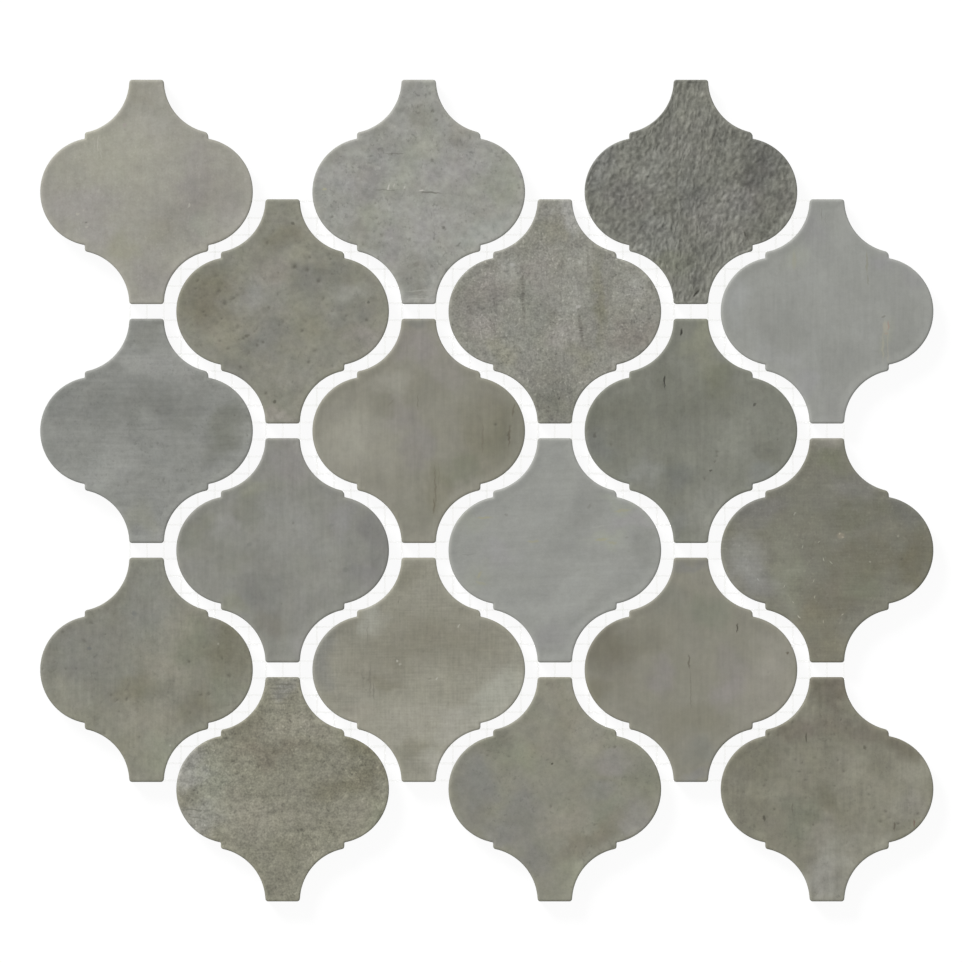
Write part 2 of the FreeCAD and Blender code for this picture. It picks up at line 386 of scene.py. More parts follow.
class Print:
    """The node tree of one chip's print, built up in layers over one colour."""

    def __init__(self, name):
        self.material = bpy.data.materials.new(name)
        self.material.use_nodes = True
        self.tree = self.material.node_tree
        self.shader = self.tree.nodes["Principled BSDF"]
        self.place = self.node("ShaderNodeTexCoord").outputs["Object"]
        self.colour = None
        self.share = (1.0, 1.0, 1.0)

    def node(self, kind, **settings):
        made = self.tree.nodes.new(kind)
        for name, value in settings.items():
            setattr(made, name, value)
        return made

    def link(self, source, socket):
        if isinstance(source, bpy.types.NodeSocket):
            self.tree.links.new(source, socket)
        else:
            socket.default_value = source

    def maths(self, operation, first, second, third=0.0):
        made = self.node("ShaderNodeMath", operation=operation)
        for number, part in enumerate((first, second, third)):
            self.link(part, made.inputs[number])
        return made.outputs[0]

    def ramp(self, value, low, high, to_low=0.0, to_high=1.0):
        """A value eased from one range to another, and held at both ends."""
        made = self.node("ShaderNodeMapRange", interpolation_type="SMOOTHSTEP")
        for number, part in enumerate((value, low, high, to_low, to_high)):
            self.link(part, made.inputs[number])
        return made.outputs[0]

    def noise(self, size, stretch=(1, 1), turn=0.0, detail=2.0):
        """Noise with features of about a size in millimetres, drawn out along x or y."""
        mapping = self.node("ShaderNodeMapping", vector_type="TEXTURE")
        mapping.inputs["Rotation"].default_value = (0, 0, math.radians(turn))
        mapping.inputs["Scale"].default_value = (size * mm * stretch[0], size * mm * stretch[1], size * mm)
        self.link(self.place, mapping.inputs["Vector"])
        texture = self.node("ShaderNodeTexNoise")
        texture.inputs["Scale"].default_value = 1.0
        texture.inputs["Detail"].default_value = detail
        self.link(mapping.outputs[0], texture.inputs["Vector"])
        return texture.outputs["Fac"]

    def uneven(self, size, low, high, stretch=(1, 1), turn=0.0, detail=2.0):
        """A value that goes from low to high and back, in patches of about a size in millimetres."""
        return self.ramp(self.noise(size, stretch, turn, detail), *NOISE_SPAN, low, high)

    def wandered(self, size, reach):
        """The place, pushed about by noise, so that clouds have wavering edges."""
        push = self.node("ShaderNodeTexNoise")
        push.inputs["Scale"].default_value = 1 / (size * mm)
        push.inputs["Detail"].default_value = 3.0
        self.link(self.place, push.inputs["Vector"])
        centred = self.node("ShaderNodeVectorMath", operation="SUBTRACT")
        self.link(push.outputs["Color"], centred.inputs[0])
        centred.inputs[1].default_value = (0.5, 0.5, 0.5)
        moved = self.node("ShaderNodeVectorMath", operation="MULTIPLY_ADD")
        self.link(centred.outputs[0], moved.inputs[0])
        moved.inputs[1].default_value = (reach * mm, reach * mm, 0)
        self.link(self.place, moved.inputs[2])
        return moved.outputs[0]

    def spot(self, x, y, half_width, half_height, turn, place):
        """One in the middle of an ellipse, falling evenly to nothing at its edge."""
        mapping = self.node("ShaderNodeMapping", vector_type="TEXTURE")
        mapping.inputs["Location"].default_value = (x, y, 0)
        mapping.inputs["Rotation"].default_value = (0, 0, math.radians(turn))
        mapping.inputs["Scale"].default_value = (half_width * mm, half_height * mm, 1)
        self.link(place, mapping.inputs["Vector"])
        sphere = self.node("ShaderNodeTexGradient", gradient_type="SPHERICAL")
        self.link(mapping.outputs[0], sphere.inputs["Vector"])
        return sphere.outputs["Fac"]

    def shift(self, mask, light, warmth, pinkness):
        """Add light, warmth and pinkness, in screen levels, where the mask is strong. Light is shared between
        red, green and blue so that all three change by the same number of levels."""
        change = self.node("ShaderNodeVectorMath", operation="MULTIPLY_ADD")
        self.link(mask, change.inputs[0])
        change.inputs[1].default_value = [(light * share + warmth * w + pinkness * p) * LEVEL
                                          for share, w, p in zip(self.share, WARMTH, PINKNESS)]
        self.link(self.colour, change.inputs[2])
        self.colour = change.outputs[0]

    def lay(self, mask, colour):
        """Lay a colour over what is there, where the mask is strong."""
        mix = self.node("ShaderNodeMix", data_type="RGBA")
        self.link(mask, mix.inputs[0])
        self.link(self.colour, mix.inputs[6])
        self.link(colour, mix.inputs[7])
        self.colour = mix.outputs[2]

    def tint(self, value):
        """Multiply the colour by a value near one."""
        scale = self.node("ShaderNodeVectorMath", operation="SCALE")
        self.link(self.colour, scale.inputs[0])
        self.link(value, scale.inputs["Scale"])
        self.colour = scale.outputs[0]

    def bump(self, height, distance):
        made = self.node("ShaderNodeBump")
        made.inputs["Strength"].default_value = BUMP_STRENGTH
        made.inputs["Distance"].default_value = distance
        self.link(height, made.inputs["Height"])
        self.link(made.outputs[0], self.shader.inputs["Normal"])


def cement_print(key, middle, ground, clouds, flecks, grain, specks, speck_size, streak, weave, drift,
                 relief_painted_shade):
    """The material of one chip. Clouds are (x, y, half width, half height, turn, light, warmth, pinkness) and
    flecks (x, y, half length, half width, turn, colour, strength), in millimetres from the chip's middle and
    screen levels. Grain is how much the print varies, in levels, over each of its sizes. Specks are dark and
    pale levels of irregular dots that come in patches. Streak is a level and a turn in degrees, weave a
    level, drift how far warmth wanders, and relief_painted_shade how much paler the relief's high places and
    darker its low places are painted, as painted shade."""
    work = Print("cement_print_" + key)
    bent = work.wandered(*CLOUD_WANDER)
    work.colour = linear(ground)[:3]
    work.share = [0.5 + 1.5 * part / sum(work.colour) for part in work.colour]
    for x, y, half_width, half_height, turn, light, warmth, pinkness in clouds:
        mask = work.spot(middle[0] + x * mm, middle[1] + y * mm, half_width, half_height, turn, bent)
        work.shift(work.ramp(mask, 0.0, CLOUD_CORE), light, warmth, pinkness)
    work.shift(work.uneven(WARM_PATCH, -1.0, 1.0, detail=4.0), 0.0, drift, 0.0)
    work.shift(work.uneven(PINK_PATCH, -1.0, 1.0, (1.0, 1.4), 30, 4.0), 0.0, 0.0, PINK_SHARE * drift)

    light = 1.0
    layers = [(amount, (size,)) for amount, size in zip(grain, GRAIN_SIZES)]
    layers += [(streak[0], (size, stretch, streak[1])) for size, stretch in STREAK_LAYERS]
    layers += [(weave, (WEAVE_SIZE, (WEAVE_STRETCH, 1.0))), (weave, (WEAVE_SIZE, (1.0, WEAVE_STRETCH)))]
    for amount, settings in layers:
        if amount:
            texture = work.noise(*settings)
            centred = work.maths("ADD", light, -NOISE_GAIN / 2 * amount)
            light = work.maths("MULTIPLY_ADD", texture, NOISE_GAIN * amount, centred)
    # Painted shade: the relief's high places are painted paler and its low places darker, whatever the light.
    if relief_painted_shade:
        relief = work.node("ShaderNodeAttribute", attribute_name="relief").outputs["Fac"]
        light = work.maths("MULTIPLY_ADD", relief, relief_painted_shade, light)
    for level, size, patch in ((-specks[0], speck_size, 8.0), (specks[1], 0.9 * speck_size, 10.0)):
        if level:
            dots = work.ramp(work.noise(size, *SPECK_NOISE), *SPECK_CUT)
            dots = work.maths("MULTIPLY", dots, work.ramp(work.noise(patch), *SPECK_PATCHES))
            light = work.maths("MULTIPLY_ADD", dots, SPECK_GAIN * level, light)
    # Painted highlight: the print is made paler along the rim.
    edge = work.node("ShaderNodeAttribute", attribute_name="edge").outputs["Fac"]
    light = work.maths("MULTIPLY_ADD", edge, RIM_HIGHLIGHT_GAIN, light)
    work.tint(light)

    hollow = work.node("ShaderNodeAttribute", attribute_name="hollow").outputs["Fac"]
    work.lay(work.ramp(hollow, 0.0, 1.0, 0.0, PIT_COVER), linear(PIT_COLOUR))
    ragged_place = work.wandered(*FLECK_WANDER)
    for x, y, half_length, half_width, turn, colour, strength in flecks:
        mask = work.spot(middle[0] + x * mm, middle[1] + y * mm, half_length, half_width, turn, ragged_place)
        work.lay(work.ramp(mask, 0.0, FLECK_CORE, 0.0, strength), linear(colour))

    height = work.node("ShaderNodeSeparateXYZ")
    work.link(work.place, height.inputs[0])
    ragged = work.maths("MULTIPLY_ADD", work.noise(RAGGED_SIZE), PRINT_RAGGED, height.outputs["Z"])
    face_colour = work.colour
    work.colour = linear(BACK_COLOUR)
    work.lay(work.ramp(height.outputs["Z"], cad_low.z + BACK_END[0], cad_low.z + BACK_END[1]),
             linear(BODY_COLOUR))
    work.tint(work.uneven(0.8, *BODY_SHADES, detail=3.0))
    work.lay(work.ramp(ragged, cad_high.z - PRINT_END[0], cad_high.z - PRINT_END[1]), face_colour)
    work.link(work.colour, work.shader.inputs["Base Color"])

    gloss = work.uneven(6.0, *ROUGHNESS, detail=3.0)
    work.link(work.maths("MULTIPLY_ADD", hollow, PIT_ROUGHNESS, gloss), work.shader.inputs["Roughness"])
    work.shader.inputs["Specular IOR Level"].default_value = SPECULAR
    work.bump(work.noise(TOOTH_SIZE, detail=3.0), TOOTH_HEIGHT)
    return work.material


def lantern_chip(key, ground, clouds, flecks, grain, cracks=(), pits=(0, 0.4, ()), specks=(0, 0),
                 speck_size=0.8, streak=(0.0, 0.0), weave=0.0, drift=1.5, face=pressed_face,
                 roughness=0.012, rough_cell=1.2, stretch=1.0, relief_painted_shade=0.0):
    """Make one chip with its print and set it in the place of its solid."""
    seed = [ord(letter) for letter in key]
    piece, middle = chip_mesh(key, face, seed, roughness, rough_cell, stretch, pits, cracks)
    piece.data.materials.append(cement_print(key, middle, ground, clouds, flecks, grain, specks, speck_size,
                                             streak, weave, drift, relief_painted_shade))
    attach(piece, "root")
    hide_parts("lantern_chip_" + key)


# First column of chips, from the top. Pale warm grey with fine upright scratches on the left; cool grey
# brushed from side to side under a dark cloud; and grey turning to olive brown with small dark pinholes.
lantern_chip(
    "a1", (155, 153, 143), specks=(3, 5), grain=(0.2, 0.6, 0.9, 0.8), streak=(0.4, 90),
    pits=(14, 0.22, ((-20, -12, 5),)),
    clouds=((-9, 11, 21, 15, 0, 5, 5, -2), (1, 18, 10, 8, 0, 5, -1, 1), (-1, 30, 8, 6, 0, -3, 4, 0),
            (19, -1, 17, 9, 0, -7, -2, 2), (8, -9, 15, 7, 40, -6, -3, 1), (-20, -4, 16, 7, 0, 1, -6, 3),
            (-15, -12, 12, 7, 0, 2, -5, 2), (-8, -17, 7, 7, 0, -3, 8, -2), (1, -26, 9, 12, 0, -6, -5, 2),
            (14, 8, 6, 12, 0, -2, -4, 3), (25, -8, 7, 6, 0, 3, -3, 1), (16, -8, 6, 5, 0, -1, -3, -4),
            (5, -12, 8, 5, 0, -3, 4, -1), (15, -14, 8, 5, 0, -5, -3, 1)),
    flecks=((-14.2, 14.2, 3.4, 0.2, 88, (178, 176, 164), 0.8),
            (-15.2, 13.0, 2.4, 0.16, 84, (174, 172, 160), 0.8),
            (-13.2, 11.0, 2.0, 0.16, 93, (173, 171, 160), 0.6),
            (-20.0, -6.5, 0.6, 0.5, 0, (178, 175, 164), 0.7),
            (-17.5, -10.2, 0.7, 0.45, 0, (176, 173, 163), 0.7),
            (-18.4, -5.2, 0.4, 0.5, 0, (176, 173, 163), 0.6),
            (12.4, -4.0, 0.8, 0.4, 70, (177, 174, 164), 0.7),
            (-6.4, 19.6, 0.9, 0.8, 0, (166, 154, 152), 0.5)))
lantern_chip(
    "a2", (139, 140, 135), specks=(7, 0), grain=(0.4, 0.9, 1.1, 0.8), streak=(0.8, 0), drift=0.8,
    pits=(22, 0.28, ((22, 0, 6), (-6, -12, 6), (8, -13, 4))),
    clouds=((3, 20, 22, 8, -5, 8, 0, 1), (-5, 8, 21, 10, 0, -9, 0, 0), (10, 6, 12, 10, -20, -8, 0, 0),
            (-27, 9, 8, 9, 0, -7, -1, 0), (23, 1, 14, 8, 55, -13, 4, -1), (18, -7, 7, 5, 40, -6, 1, 0),
            (-7, -8, 10, 7, 0, 5, 0, 0), (-15, -12, 11, 8, 0, 8, 0, 0), (12, -13, 12, 5, 20, -2, 0, 0),
            (-1, -26, 6, 6, 0, 0, 7, -1), (4, -30, 6, 5, 0, 5, -1, 1), (1, 31, 7, 5, 0, -4, 2, 0)),
    flecks=((-17, -7.8, 1.8, 0.14, 2, (154, 155, 150), 0.6),
            (-15, -8.4, 1.4, 0.14, -3, (152, 153, 148), 0.6), (2.5, 0.4, 5.0, 0.3, 2, (126, 127, 122), 0.7),
            (-12.5, 13.6, 0.8, 0.4, 60, (120, 121, 116), 0.6)))
lantern_chip(
    "a3", (132, 131, 118), specks=(7, 0), grain=(0.3, 0.8, 1.4, 0.9), streak=(0.8, 90), drift=1.6,
    pits=(52, 0.4, ((12, -11, 5), (22, 6, 6), (-20, 6, 6), (16, -1, 8), (-6, -12, 7), (-26, 0, 2))),
    clouds=((-18, 5, 21, 20, 0, -1, -8, 0), (0, 20, 13, 18, 0, 2, -9, -1), (-21, -9, 9, 7, 0, 5, 1, 0),
            (25, 7, 12, 16, 0, -10, 4, 1), (13, 7, 7, 10, 0, -5, 0, -3), (14, -11, 8, 9, 0, -7, 3, 1),
            (-3, -6, 10, 6, 0, -7, 4, 1), (6, 1, 12, 10, 0, 7, 2, 2), (0, -14, 15, 7, 0, 7, 3, 2),
            (24, -6, 6, 7, 0, 0, 0, -3), (4, -24, 8, 9, 0, 6, 1, -4), (-5, -23, 7, 8, 0, 2, 3, 0),
            (9, 14, 6, 10, -35, 7, 2, 2)),
    flecks=((20.9, 7.6, 0.5, 0.45, 0, (160, 158, 146), 0.55),
            (6.8, -22, 0.5, 0.45, 0, (164, 162, 150), 0.7), (-3.6, 16.4, 0.9, 0.8, 0, (110, 112, 110), 0.5),
            (-16.6, 6.4, 0.8, 0.7, 0, (100, 102, 102), 0.6)))

# Second column, from the top. Mottled olive grey with pinholes gathered in the left lobe; smooth cool grey;
# and coarse speckled concrete with a blue-grey patch on the left and lines across the upper neck.
lantern_chip(
    "b1", (134, 133, 121), specks=(7, 0), grain=(0.3, 1.3, 1.6, 0.9), drift=2.0,
    pits=(110, 0.46, ((-21, 4, 5), (-21, 6, 5), (-10, -9, 4), (12, 0, 8), (-2, 18, 6), (3, -14, 8))),
    clouds=((-22, 4, 14, 14, 0, -10, 6, 2), (-8, 4, 11, 9, 0, 9, -9, 1), (-4, 12, 9, 6, 0, 6, 0, 4),
            (0, 22, 10, 6, 0, -8, 5, 1), (6, 16, 8, 5, 30, 9, 5, 0), (11, 9, 14, 7, 20, -6, -5, 0),
            (19, 5, 10, 5, 25, 9, -6, 0), (20, 0, 10, 5, 15, -2, -5, 0), (24, -8, 8, 7, 0, 6, -3, 5),
            (6, -4, 9, 7, 0, 1, 6, 0), (-16, -7, 9, 6, 0, 3, 7, 2), (-4, -8, 9, 9, 0, -3, -7, 0),
            (-14, -16, 8, 5, 0, -6, -5, 0), (3, -18, 10, 6, 0, 5, -3, 1), (0, -31, 7, 3, 0, 8, -1, 5)),
    flecks=((-10.4, -7.2, 0.9, 0.7, 0, (92, 90, 78), 0.65), (-2.4, -26.4, 0.8, 0.8, 0, (84, 83, 72), 0.8),
            (3.0, 25.8, 0.7, 0.7, 0, (82, 80, 70), 0.7), (25.2, 2.7, 0.6, 0.6, 0, (84, 84, 76), 0.7)))
lantern_chip(
    "b2", (136, 136, 129), specks=(3, 0), grain=(0.3, 0.8, 0.9, 0.5), streak=(0.65, 90), drift=1.4,
    pits=(6, 0.3, ()),
    clouds=((28, 6, 7, 16, 0, -8, -4, 1), (18, 8, 5, 10, 0, 3, -5, 2), (-25, 5, 8, 8, 0, -7, 4, -1),
            (-10, 12, 7, 8, 0, -7, 2, -1), (-8, 18, 7, 5, 0, 1, 8, -2), (1, 26, 9, 9, 0, 3, -1, 4),
            (-17, 8, 6, 6, 0, 6, -1, 1), (2, 7, 14, 10, 0, 4, -2, 0), (-7, -12, 10, 9, 0, -6, -2, 0),
            (-15, -16, 8, 4, -35, -1, 8, -2), (-4, -22, 8, 6, 0, -7, 4, 2), (5, -28, 6, 6, 0, 6, -1, 2),
            (14, 0, 8, 5, 0, 4, -1, 0), (11, -9, 9, 8, 0, 2, 0, 0), (24, -7, 7, 6, 0, -4, -4, 2),
            (-15, -2, 11, 6, 0, -4, 2, -1)),
    flecks=((18.5, -5.8, 1.1, 0.9, 0, (118, 119, 113), 0.7),
            (-9.8, 1.6, 0.9, 0.7, 30, (120, 121, 115), 0.6),
            (14.2, 7.4, 1.0, 0.8, 0, (122, 123, 118), 0.6)))
lantern_chip(
    "b3", (135, 133, 118), specks=(14, 18), grain=(0.2, 1.2, 2.6, 3.4), streak=(0.9, 2), drift=1.2,
    roughness=0.05, rough_cell=0.9, relief_painted_shade=0.1,
    pits=(70, 0.3, ((-16, 10, 6), (0, 0, 14), (4, -14, 12), (14, 6, 10))),
    clouds=((-27, 7, 8, 10, 0, 13, -14, 0), (-20, 0, 8, 16, 0, 6, -4, -4), (-25, -9, 8, 7, 0, 6, -10, 0),
            (0, 31, 8, 5, 0, 4, -12, 0), (4, 18, 13, 5, 0, 4, 0, 2), (-9, 18, 7, 6, 30, -6, 1, 1),
            (-5, 11, 12, 6, 0, -9, 1, 3), (7, 12, 12, 3, 0, -6, 1, 1), (24, 14, 11, 8, -30, -14, 2, 0),
            (22, 3, 20, 6, 10, -11, 2, 1), (-12, -8, 17, 9, 0, 5, 0, 2), (4, -7, 10, 9, 0, 2, 0, 1),
            (18, -7, 9, 7, 0, 2, 0, 1), (27, -8, 6, 7, 0, -1, -1, -4), (2, -18, 9, 6, 0, -3, 0, 0),
            (-3, -29, 8, 6, 0, -5, -2, 0)),
    flecks=((0, 30.6, 5.0, 0.3, 1, (110, 109, 98), 0.65), (-1, 29.3, 5.0, 0.35, -3, (112, 111, 100), 0.6),
            (0.5, 27.9, 4.8, 0.28, 2, (112, 111, 99), 0.55),
            (-1, 26.4, 5.0, 0.28, -2, (116, 114, 102), 0.6),
            (0.4, 25.0, 5.5, 0.28, 1, (118, 116, 104), 0.5), (-26, -6, 4.5, 0.28, -6, (110, 110, 100), 0.7),
            (-25, -8.2, 3.8, 0.26, -10, (112, 111, 101), 0.6)))

# Third column, from the top. Pale grey with dark blotches and small white chips; taupe with brown cracks
# on the right; and warm grey over a fine woven texture, paler towards the lower right.
lantern_chip(
    "c1", (151, 151, 144), specks=(12, 7), speck_size=1.0, grain=(0.3, 1.5, 1.9, 0.8), drift=2.6,
    pits=(60, 0.34, ((25, 0, 5), (11, 18, 5), (-9, 11, 4), (7, -11, 4), (-15, -9, 5), (0, 22, 4),
                     (-15, 3, 5))),
    clouds=((-15, 3, 9, 9, 0, -5, -1, 3), (-10, 12, 9, 6, 0, -5, -3, 1), (-2, 9, 5, 15, -35, 3, 5, -3),
            (-12, -7, 6, 8, 30, 1, 6, -3), (-16, -12, 6, 5, 0, -6, 4, 0), (-24, 4, 7, 8, 0, 3, -4, 1),
            (11, 7, 13, 10, 0, 4, -3, 4), (14, 17, 7, 5, 0, -7, 5, 3), (1, 22, 8, 6, 0, -8, 4, 1),
            (25, 2, 7, 11, 0, -2, 5, -4), (19, -12, 11, 6, 20, 6, -4, -4), (3, -9, 11, 6, 15, 5, -3, 3),
            (-8, -16, 7, 6, 0, -3, -3, 3), (-2, -25, 7, 5, 0, -10, 3, 1), (3, -32, 6, 4, 0, 7, -4, 3)),
    flecks=((-8.8, 1.4, 1.1, 0.3, 80, (190, 188, 180), 0.9),
            (-7.2, 1.9, 0.8, 0.25, 75, (184, 182, 174), 0.8),
            (1.0, 0.4, 0.9, 0.35, 5, (194, 192, 184), 0.9), (-4.0, 1.2, 0.7, 0.3, 60, (186, 184, 176), 0.8),
            (3.5, -0.2, 4.4, 0.3, -3, (100, 98, 90), 0.7), (-7.0, 11.2, 3.8, 0.26, 0, (106, 105, 97), 0.6),
            (7.2, -10.3, 0.6, 0.6, 0, (100, 100, 92), 0.7), (-27.6, 0.8, 0.9, 0.6, 0, (168, 166, 142), 0.8),
            (11.6, -15.4, 1.2, 0.4, 40, (108, 108, 100), 0.6),
            (-0.6, -21, 1.6, 0.9, 40, (120, 118, 110), 0.6),
            (-9.5, 0.6, 5.0, 0.22, 2, (112, 111, 103), 0.5), (0, -28.8, 5.0, 0.25, 1, (170, 170, 162), 0.5),
            (0, -30.0, 5.0, 0.22, -1, (130, 130, 124), 0.5),
            (0, -31.0, 5.0, 0.25, 1, (170, 170, 162), 0.5)))
lantern_chip(
    "c2", (137, 135, 123), grain=(0.1, 0.6, 0.7, 0.4), streak=(0.72, 90), drift=1.0,
    pits=(5, 0.3, ((25, 0, 3),)),
    clouds=((-24, -3, 15, 14, 0, 8, 0, 0), (-14, -3, 17, 15, 0, 6, 0, 0), (-8, 13, 6, 7, 0, 10, -1, 0),
            (-11, 7, 5, 5, 0, -6, 0, 0), (1, 25, 9, 8, 0, 4, -7, 5), (0, 32, 8, 3, 0, -4, -8, -1),
            (9, 17, 9, 6, -20, 2, -4, 2), (-4, 4, 8, 8, 0, 0, -6, 3), (0, -5, 6, 8, 0, 0, -7, 3),
            (2, 12, 12, 7, 0, -3, 0, 0), (20, 0, 11, 16, 0, -8, 4, 0), (28, 0, 10, 18, 0, -8, 0, -1),
            (12, -11, 10, 6, 20, -8, 1, -4), (5, -17, 5, 12, 0, -6, 4, 0), (0, -27, 9, 8, 0, -3, 0, -1)),
    cracks=((26.4, -1.2, 3.0, 0.18, 88),),
    flecks=((26.4, -1.6, 3.8, 0.4, 88, (96, 90, 76), 0.65), (27.6, 6.0, 2.6, 0.36, 80, (98, 92, 78), 0.6),
            (-0.2, 8.4, 3.4, 0.26, 89, (116, 113, 100), 0.7),
            (4.8, -16, 8.0, 0.3, 91, (112, 108, 92), 0.75), (4.4, -22, 2.8, 0.36, 88, (100, 93, 76), 0.65),
            (5.8, -13, 5.0, 0.2, 89, (120, 116, 101), 0.6), (18.6, -2, 6.0, 0.4, 90, (108, 103, 88), 0.45),
            (-8.2, 8.1, 1.6, 0.35, 50, (120, 117, 104), 0.6)))
lantern_chip(
    "c3", (145, 143, 130), specks=(4, 0), grain=(0.1, 0.7, 0.9, 0.7), weave=0.95, drift=1.0,
    pits=(16, 0.28, ((-14, -4, 3), (0, 8, 10))),
    clouds=((-29, 3, 7, 14, 0, -6, -11, -1), (-22, 10, 8, 7, 0, -7, -2, 0), (-3, 27, 7, 9, 0, -9, 0, 0),
            (6, 9, 30, 12, 0, -10, 2, 1), (-11, 1, 17, 9, 0, -6, 1, 1), (-10, -3, 10, 3, 0, -6, 2, 0),
            (-13, 15, 6, 7, 0, 11, -6, -2), (0, -15, 22, 10, 0, 9, 1, 1), (6, -3, 14, 6, 10, 4, 2, 0),
            (24, -7, 15, 9, 40, 16, -4, -3), (12, -16, 10, 7, 30, 7, -3, 0), (-1, -23, 6, 5, 0, -7, 2, 0),
            (6, -29, 7, 8, 0, 12, -3, 0), (-18, -14, 7, 5, -30, 3, 2, 2)),
    flecks=((-14.2, -3, 6.5, 0.4, 89, (110, 107, 97), 0.45),
            (-13.2, -6, 3.5, 0.35, 93, (108, 105, 95), 0.45),
            (-16.4, -3, 4.5, 0.25, 90, (122, 119, 108), 0.4),
            (-15, 10, 4.0, 0.25, 88, (118, 116, 106), 0.4),
            (-6.3, 2.6, 0.7, 0.4, 70, (186, 184, 172), 0.65),
            (5.4, -2.6, 0.7, 0.35, 60, (184, 182, 170), 0.7),
            (11.7, 12.6, 0.7, 0.3, 80, (178, 176, 164), 0.7),
            (-5.4, 1.6, 0.5, 0.35, 0, (176, 174, 162), 0.55)))

# Fourth column, from the top. Coarse sandy concrete with brown stains and upright cracks; smooth pale grey
# with yellowish brush marks; and smooth olive grey with blue-grey clouds.
lantern_chip(
    "d1", (138, 137, 128), specks=(15, 23), grain=(0.1, 0.6, 2.3, 3.0), streak=(0.7, 90), drift=2.0,
    roughness=0.05, rough_cell=0.8, relief_painted_shade=0.1, pits=(80, 0.28, ()),
    clouds=((-22, 4, 10, 5, 20, -3, 0, 3), (-18, 9, 8, 7, 0, 3, 0, 3), (-22, -4, 10, 6, 0, 4, 0, 4),
            (-13, 13, 7, 6, 0, 10, -2, -1), (-5, 11, 7, 8, 0, 4, 0, 4), (4, 29, 6, 8, 0, 20, -6, 0),
            (7, 14, 6, 5, 0, 10, -1, 0), (13, 4, 3, 16, 0, -8, 7, -1), (15, -4, 3, 9, 0, -4, 5, 0),
            (5, 3, 7, 9, 0, 7, -2, -1), (23, 8, 8, 9, 0, 9, -2, 0), (-9, 0, 7, 13, 0, 0, -2, -2),
            (2, -8, 7, 6, 0, 8, 0, 4), (-15, -11, 5, 8, 0, 2, 8, 0), (0, -26, 13, 13, 0, -12, -1, -1),
            (24, -7, 9, 8, 0, -6, 1, 4), (-1, 23, 5, 7, 0, -2, 7, 0), (8, -13, 5, 6, 0, -3, 6, 0)),
    cracks=((-9.2, 4, 11.0, 0.16, 92), (7.6, -5, 7.5, 0.16, 98)),
    flecks=((-9.2, 4, 12, 0.7, 92, (112, 110, 102), 0.4), (7.6, -5, 8.0, 0.7, 98, (108, 105, 98), 0.45),
            (9.6, 13.5, 5.0, 0.5, 90, (112, 110, 102), 0.4), (6.8, 1.3, 1.0, 0.5, 30, (186, 184, 178), 0.7),
            (1.6, 6, 9.0, 0.5, 92, (116, 114, 106), 0.25), (15.4, 2, 9.0, 0.5, 88, (116, 112, 100), 0.25),
            (-17.5, 6, 7.0, 0.5, 92, (116, 113, 105), 0.25),
            (-24.5, 0, 6.0, 0.6, 90, (118, 114, 106), 0.25),
            (-12.4, 13.6, 1.0, 0.8, 0, (178, 177, 172), 0.6),
            (7.4, 14.4, 0.9, 0.7, 0, (178, 177, 170), 0.6)))
lantern_chip(
    "d2", (149, 150, 145), grain=(0.2, 0.6, 0.6, 0.5), streak=(0.4, 3), drift=0.8, pits=(4, 0.25, ()),
    clouds=((10, 14, 9, 6, 35, -5, 0, 0), (5, 4, 7, 16, -35, -4, 0, 0), (27, -1, 6, 10, 0, -6, 0, 0),
            (16, 3, 9, 3, 10, 3, 6, -3), (-24, 9, 9, 3, 0, 1, 5, -2), (-22, -9, 8, 5, 0, 2, 5, -2),
            (18, 13, 9, 3, 0, 2, 5, -3), (22, 8, 9, 4, 0, 3, -2, 4), (-16, -1, 9, 5, 0, 2, -3, 3),
            (2, -13, 17, 4, 45, 6, 0, 0), (12, -9, 16, 4, 45, 4, 0, 0), (9, -17, 12, 3, 45, -3, 0, 0),
            (-8, -10, 10, 7, 0, -2, 0, 0), (-2, -26, 9, 9, 0, -3, -2, 2), (-8, 8, 13, 8, 20, 2, 0, 0)),
    flecks=((-20.5, 9.5, 3.0, 0.5, 2, (156, 154, 132), 0.8),
            (-6.2, 2.6, 2.4, 0.45, 0, (155, 153, 133), 0.7), (13.6, 3.2, 2.4, 0.7, 4, (158, 156, 130), 0.7),
            (16.8, 2.2, 2.0, 0.5, -5, (156, 154, 132), 0.6),
            (19.6, 11.5, 3.0, 0.6, 5, (157, 155, 134), 0.7),
            (-22.0, -7.2, 1.8, 0.6, 60, (156, 154, 132), 0.7),
            (-21.5, -9.5, 2.2, 0.5, -20, (154, 153, 135), 0.6),
            (10.2, 12.8, 1.3, 0.7, 50, (124, 123, 117), 0.5),
            (-14.2, 10.3, 0.7, 0.5, 0, (122, 121, 115), 0.5),
            (20.9, 3.8, 0.6, 0.4, 0, (124, 124, 118), 0.4),
            (-25.5, -1.2, 3.4, 0.2, 5, (129, 130, 125), 0.5),
            (12.4, 7.0, 3.0, 0.25, 10, (160, 160, 153), 0.6)))
